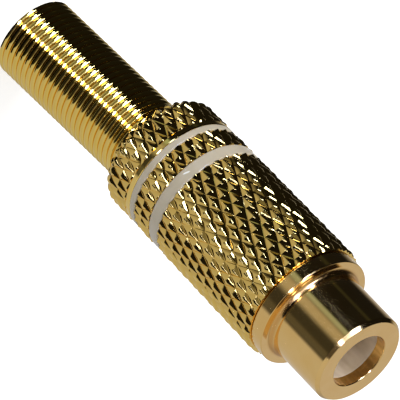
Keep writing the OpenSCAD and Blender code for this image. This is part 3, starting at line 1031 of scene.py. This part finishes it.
def bump(tree, height, strength, distance_mm):
    """Bump from a 0 to 1 height, in millimetres."""
    inputs = {"Height": height, "Strength": strength, "Distance": distance_mm * MM}
    return add_node(tree, "ShaderNodeBump", inputs).outputs["Normal"]


# %% [markdown]
# The front body shows its turned rings, and its gold is a little redder than that of the shell.
# In the corner at the nose's foot, the share that we kept above mixes in painted shade, a darker,
# more orange gold, and adds to the roughness.

# %% Gold of the front body
# painted shade: the darker, more orange gold mixed in at the corner of the nose's foot
CORNER_SHADE_COLOUR = (0.70, 0.37, 0.11, 1.0)
CORNER_SHADE_SHARE = 0.9
turned_gold, tree, shader = new_finish("turned_gold", Metallic=1.0)
plate = ramp(tree, clouds(tree, 0.6), [(0.35, (0.90, 0.59, 0.21)), (0.65, (0.92, 0.62, 0.24))])
foot = add_node(tree, "ShaderNodeAttribute", attribute_name="foot").outputs["Fac"]
shaded_plate = add_node(tree, "ShaderNodeMix", {0: between(tree, foot, 0.0, CORNER_SHADE_SHARE),
                                             6: plate, 7: CORNER_SHADE_COLOUR}, data_type="RGBA")
satin = add_node(tree, "ShaderNodeMath", {0: between(tree, foot, 0.0, 0.11),
                                          1: between(tree, clouds(tree, 2.0), 0.07, 0.14)},
                 operation="ADD")
plug_in(tree, shader, shaded_plate.outputs[2], satin.outputs[0],
        bump(tree, turned_marks(tree, 9.0), 0.35, 0.006))
give(front, turned_gold)

# %% [markdown]
# The shell and the spring carry a brighter, yellower gold. On the shell, the grooves get painted
# shade: their gold is a touch darker than the tips'. The spring's wire is the smoothest of all,
# because it was drawn through a die before it was wound.

# %% Gold of the shell and of the spring
shell_gold, tree, shader = new_finish("shell_gold", Metallic=1.0)
cut = add_node(tree, "ShaderNodeAttribute", attribute_name="cut").outputs["Fac"]
# painted shade: the deeper the cut, the darker the gold in the grooves
plug_in(tree, shader, ramp(tree, cut, [(0.1, (0.95, 0.68, 0.20)), (0.95, (0.86, 0.58, 0.15))]),
        between(tree, clouds(tree, 3.0), 0.02, 0.10), bump(tree, clouds(tree, 5.0), 0.3, 0.01))
give(shell, shell_gold)

spring_gold, tree, shader = new_finish("spring_gold", Metallic=1.0)
plug_in(tree, shader,
        ramp(tree, clouds(tree, 0.8), [(0.35, (0.92, 0.65, 0.15)), (0.65, (0.94, 0.68, 0.19))]),
        between(tree, clouds(tree, 3.0), 0.01, 0.06), bump(tree, clouds(tree, 6.0), 0.2, 0.004))
give(spring, spring_gold)

# %% [markdown]
# ## Milky plastic
#
# The rings and the insulators are moulded in a milky plastic that lets a little light through.
# Its cloudiness is faint and large. In the insulators it is drawn out along the axis, the way the
# plastic flowed into the mould.

# %% Plastic of the rings and the insulators
def milky(name, pale, deep, roughness, per_mm=0.9, stretch=1.0):
    """Moulded milky plastic: some light scatters inside, and the skin is softly glossy.

    Its cloudiness is drawn out along Z where the stretch is below 1.
    """
    material, tree, shader = new_finish(name, Roughness=roughness, IOR=1.5,
                                        Subsurface_Weight=0.25, Subsurface_Scale=0.0006)
    shader.inputs["Subsurface Radius"].default_value = (1.0, 0.8, 0.6)
    flow = add_node(tree, "ShaderNodeVectorMath",
                    {0: object_millimetres(tree), 1: (1.0, 1.0, stretch)}, operation="MULTIPLY")
    cloudy = add_node(tree, "ShaderNodeTexNoise", {"Vector": flow.outputs[0], "Scale": per_mm})
    plug_in(tree, shader, ramp(tree, cloudy.outputs["Fac"], [(0.3, deep), (0.7, pale)]),
            normal=bump(tree, clouds(tree, 4.0), 0.2, 0.01))
    return material


band_plastic = milky("band_plastic", (0.60, 0.53, 0.415), (0.55, 0.485, 0.37), 0.28)
white_insulator = milky("white_insulator", (0.84, 0.72, 0.57), (0.46, 0.36, 0.25), 0.10, 0.7, 0.4)
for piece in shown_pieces():
    if piece.name.startswith(("wide_colour_band_t", "narrow_colour_band_t")):
        give(piece, band_plastic)
    if piece.name.endswith("insulator_turned"):
        give(piece, white_insulator)

# %% [markdown]
# The wide ring has one small painted highlight: a white glint painted into the plastic's colour.
# It is an ellipse on the ring's skin: the offset from its middle, measured along and across it in
# units of its own half lengths, is less than 1 inside. A soft edge round that border mixes white
# into the colour.

# %% The painted glint on the wide ring
# place, size and tilt of the painted highlight on the wide ring
GLINT_AZIMUTH = np.radians(4.2)
GLINT_HEIGHT = 22.0
GLINT_HALF = (0.30, 0.075)
GLINT_TILT = np.radians(20.7)
GLINT_SOFT = (0.8, 1.2)
WHITE = (1.0, 1.0, 1.0, 1.0)
tree = band_plastic.node_tree
shader = tree.nodes["Principled BSDF"]
outward = np.array([np.sin(GLINT_AZIMUTH), np.cos(GLINT_AZIMUTH), 0.0])
round_it = np.array([np.cos(GLINT_AZIMUTH), -np.sin(GLINT_AZIMUTH), 0.0])
upward = np.array([0.0, 0.0, 1.0])
glint_place = outward * (crest_radius(GLINT_HEIGHT) - BAND_SINK) + upward * GLINT_HEIGHT
long_way = (np.cos(GLINT_TILT) * round_it + np.sin(GLINT_TILT) * upward) / GLINT_HALF[0]
short_way = (np.cos(GLINT_TILT) * upward - np.sin(GLINT_TILT) * round_it) / GLINT_HALF[1]
off = add_node(tree, "ShaderNodeVectorMath",
               {0: object_millimetres(tree), 1: glint_place.tolist()},
               operation="SUBTRACT").outputs[0]
shares = [add_node(tree, "ShaderNodeVectorMath", {0: off, 1: way.tolist()},
                   operation="DOT_PRODUCT").outputs["Value"] for way in (long_way, short_way)]
flat_off = add_node(tree, "ShaderNodeCombineXYZ", {"X": shares[0], "Y": shares[1]}).outputs[0]
far = add_node(tree, "ShaderNodeVectorMath", {0: flat_off}, operation="LENGTH").outputs["Value"]
glint_share = add_node(tree, "ShaderNodeMapRange",
                     {"Value": far, "From Min": GLINT_SOFT[0], "From Max": GLINT_SOFT[1],
                      "To Min": 1.0, "To Max": 0.0}).outputs["Result"]
plain_colour = shader.inputs["Base Color"].links[0].from_socket
# painted highlight: white mixed into the ring's colour inside the ellipse
glint_painted = add_node(tree, "ShaderNodeMix", {0: glint_share, 6: plain_colour, 7: WHITE},
                    data_type="RGBA")
plug_in(tree, shader, glint_painted.outputs[2])
print("painted glint at (mm):", np.round(glint_place, 2).tolist())

# %% [markdown]
# ## The pieces that keep their CAD shapes
#
# The contact only shows deep in the mouth, and the earth tag and the clear sleeve lie inside the
# shell. They keep their CAD shapes and only get a finish: gold plate on the contact, a paler gold
# plate on the tag's sheet metal, and clear plastic.

# %% Contact, tag and sleeve
PALER = 1.05
for node, base in (("centre_contact", (0.90, 0.64, 0.30)), ("earth_tag", (0.80, 0.70, 0.50))):
    material, tree, shader = new_finish(node + "_plate", Metallic=1.0)
    pale = tuple(min(1.0, value * PALER) for value in base)
    plug_in(tree, shader, ramp(tree, clouds(tree, 1.5), [(0.3, base), (0.7, pale)]),
            between(tree, clouds(tree, 2.5), 0.18, 0.32), bump(tree, clouds(tree, 6.0), 0.3, 0.01))
    give(frame["nodes"][node], material)

clear_sleeve, tree, shader = new_finish("clear_sleeve", IOR=1.46, Transmission_Weight=0.85)
plug_in(tree, shader,
        ramp(tree, clouds(tree, 0.5), [(0.3, (0.86, 0.88, 0.88)), (0.7, (0.92, 0.93, 0.93))]),
        between(tree, clouds(tree, 1.5), 0.12, 0.25))
give(frame["nodes"]["insulating_sleeve"], clear_sleeve)

# %% [markdown]
# ## Floor and light
#
# The photograph has a plain white ground. For the camera the floor adds white of its own to the
# light that falls on it, so that it stays white and still darkens where the object shades it.
# The gold doesn't see the floor, only the dome beyond it.

# %% Floor and card
FLOOR_HALF = 1500.0
FLOOR_POINTS = 13
FLOOR_WHITE = 0.60


def seen_or_mirrored(tree):
    """1 for rays from the camera, from a mirror or through clear plastic, else 0: a maximum."""
    path = add_node(tree, "ShaderNodeLightPath")
    seen = add_node(tree, "ShaderNodeMath", {0: path.outputs["Is Camera Ray"],
                                             1: path.outputs["Is Glossy Ray"]},
                    operation="MAXIMUM")
    seen = add_node(tree, "ShaderNodeMath", {0: seen.outputs[0],
                                             1: path.outputs["Is Transmission Ray"]},
                    operation="MAXIMUM")
    return seen.outputs[0]


def matt_paper(name, dark, pale, per_mm):
    """Paper without gloss, whose grey drifts between two values."""
    material, tree, shader = new_finish(name, Roughness=0.9, Specular_IOR_Level=0.0)
    greys = [(0.3, (dark, dark, dark)), (0.7, (pale, pale, pale))]
    plug_in(tree, shader, ramp(tree, clouds(tree, per_mm), greys))
    return material, tree, shader


floor_side = np.linspace(-FLOOR_HALF, FLOOR_HALF, FLOOR_POINTS)
floor_x, floor_y = np.meshgrid(floor_side, floor_side, indexing="xy")
floor_points = np.stack([floor_x, floor_y, np.zeros_like(floor_x)], axis=-1)
floor = stage_object("floor", floor_points, open_grid_faces(FLOOR_POINTS, FLOOR_POINTS))
floor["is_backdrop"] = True
floor.visible_glossy = False

floor_paper, tree, shader = matt_paper("floor_paper", 0.84, 0.86, 0.02)
white = add_node(tree, "ShaderNodeEmission", {"Color": WHITE})
tree.links.new(between(tree, seen_or_mirrored(tree), 0.0, FLOOR_WHITE), white.inputs["Strength"])
both = add_node(tree, "ShaderNodeAddShader", {0: shader.outputs[0], 1: white.outputs[0]})
tree.links.new(both.outputs[0], tree.nodes["Material Output"].inputs["Surface"])
give(floor, floor_paper)
black_paper, tree, shader = matt_paper("black_paper", 0.008, 0.012, 0.2)
give(card, black_paper)

# %% [markdown]
# The world gives the plain soft light, and one large lamp from above gives it a direction. The
# world is white to the camera and to mirrored rays, and dimmer as a light. The lamp's back axis
# points from its aim to its place, and its two other axes are square to that.

# %% World and lamp
WORLD_LIGHT = 0.48
LAMP_PLACE = np.array([0.36, 0.24, 0.48])
LAMP_AIM = np.array([0.0, 0.0, 0.02])
LAMP_WIDTH = 0.5
LAMP_POWER = 2.6
world = bpy.data.worlds.new("soft_room")
bpy.context.scene.world = world
world.use_nodes = True
world.cycles.sampling_method = "NONE"
tree = world.node_tree
ground = tree.nodes["Background"]
ground.inputs["Color"].default_value = WHITE
tree.links.new(between(tree, seen_or_mirrored(tree), WORLD_LIGHT, 1.0), ground.inputs["Strength"])

lamp_data = bpy.data.lights.new("large_soft_lamp", "AREA")
lamp_data.shape = "DISK"
lamp_data.size = LAMP_WIDTH
lamp_data.energy = LAMP_POWER
lamp = bpy.data.objects.new("large_soft_lamp", lamp_data)
z_axis = (LAMP_PLACE - LAMP_AIM) / np.linalg.norm(LAMP_PLACE - LAMP_AIM)
x_axis = np.cross([0.0, 0.0, 1.0], z_axis)
x_axis = x_axis / np.linalg.norm(x_axis)
y_axis = np.cross(z_axis, x_axis)
axes = np.column_stack([x_axis, y_axis, z_axis, LAMP_PLACE])
lamp.matrix_world = Matrix(np.vstack([axes, LAST_ROW]).tolist())
lamp.visible_glossy = False
lamp.visible_camera = False
bpy.context.scene.collection.objects.link(lamp)
print("lamp", round(float(np.linalg.norm(LAMP_PLACE - LAMP_AIM)), 2), "m from the object")
